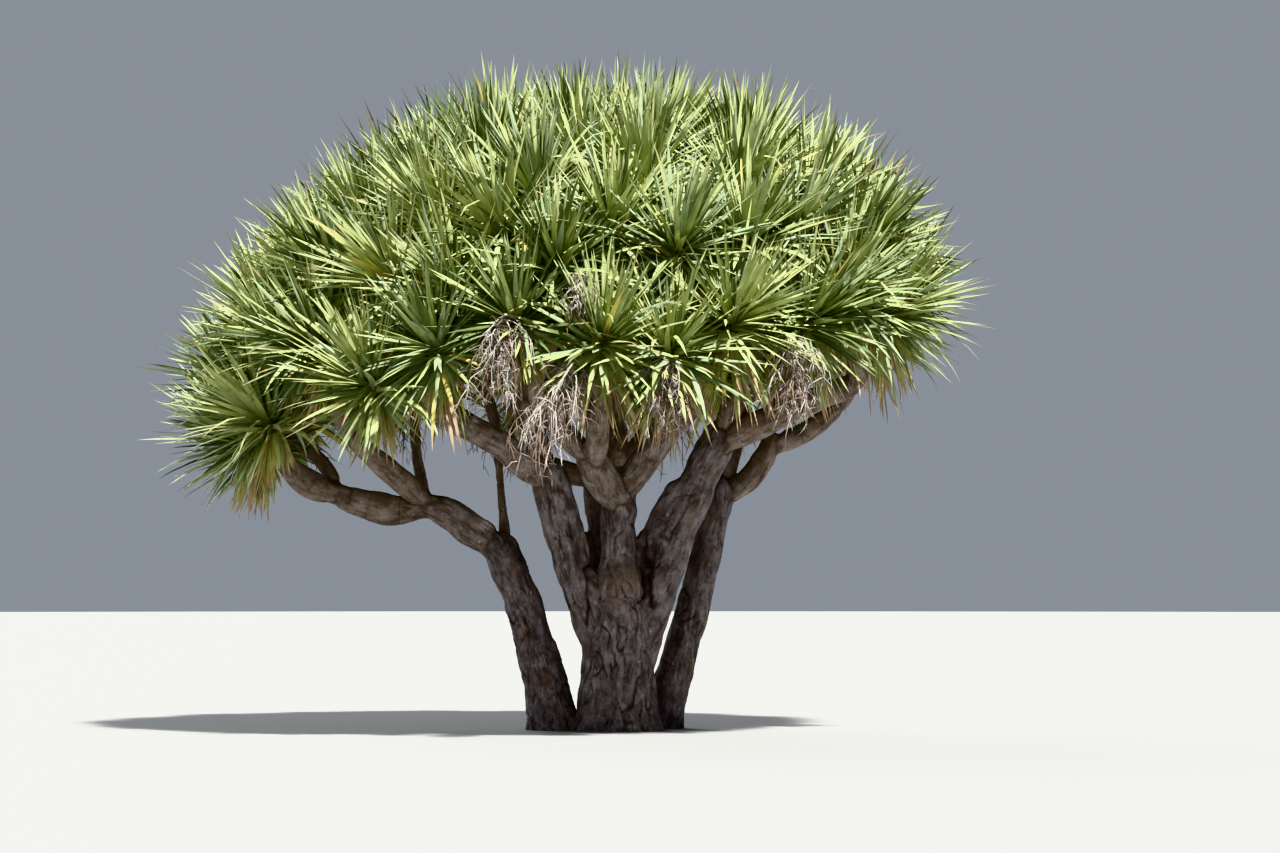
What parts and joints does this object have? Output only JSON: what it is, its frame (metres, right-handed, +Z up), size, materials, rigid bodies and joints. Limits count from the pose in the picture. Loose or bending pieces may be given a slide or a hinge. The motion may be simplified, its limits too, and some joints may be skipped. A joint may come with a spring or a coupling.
{
  "type": "dragon blood tree",
  "caption": "Low dragon blood tree: a stout trunk and side stems from one root, forking boughs with ring scars, and a dense dome of sword-leaved rosettes with dry flower sprays.",
  "frame": {"origin": "middle of the flat cut under the trunk, at ground level", "axes": "+Z up along the trunk, +X to the right across the crown's widest reach, -Y to the viewer of the picture"},
  "size_m": [4.2864, 4.054, 3.4882],
  "materials": {
    "bark": "rough grey-brown bark",
    "foliage": "satin grey-green sword leaves on twigs, with pale dry flower sprays"
  },
  "bodies": {
    "root": {"trunk": "bark", "centre_bough": "bark", "left_bough": "bark", "right_bough": "bark", "back_bough": "bark", "left_stem": "bark", "right_stem": "bark", "left_bough_outer": "bark", "left_bough_upper": "bark", "front_bough": "bark", "centre_bough_right": "bark", "centre_bough_top": "bark", "front_bough_upper": "bark", "front_bough_left": "bark", "right_bough_outer": "bark", "right_bough_upper": "bark", "back_bough_left": "bark", "back_bough_middle": "bark", "back_bough_right": "bark", "right_stem_outer": "bark", "right_stem_rear": "bark", "right_stem_tip": "bark", "right_stem_upper": "bark", "left_stem_reach": "bark", "left_stem_upright": "bark", "left_stem_sweep": "bark", "left_reach_rise": "bark", "left_reach_upright": "bark", "left_sweep_tip": "bark", "left_sweep_upper": "bark", "foliage_far_left": "foliage", "foliage_left_rear": "foliage", "foliage_left_front": "foliage", "foliage_left_top": "foliage", "foliage_back_left_top": "foliage", "foliage_front_left": "foliage", "foliage_front_left_top": "foliage", "foliage_front_middle": "foliage", "foliage_front": "foliage", "foliage_front_right": "foliage", "foliage_top": "foliage", "foliage_right_front": "foliage", "foliage_right_top": "foliage", "foliage_right": "foliage", "foliage_back_right": "foliage", "foliage_right_rear_top": "foliage", "foliage_back_right_top": "foliage", "foliage_back": "foliage", "foliage_back_left": "foliage"}
  },
  "joints": []
}
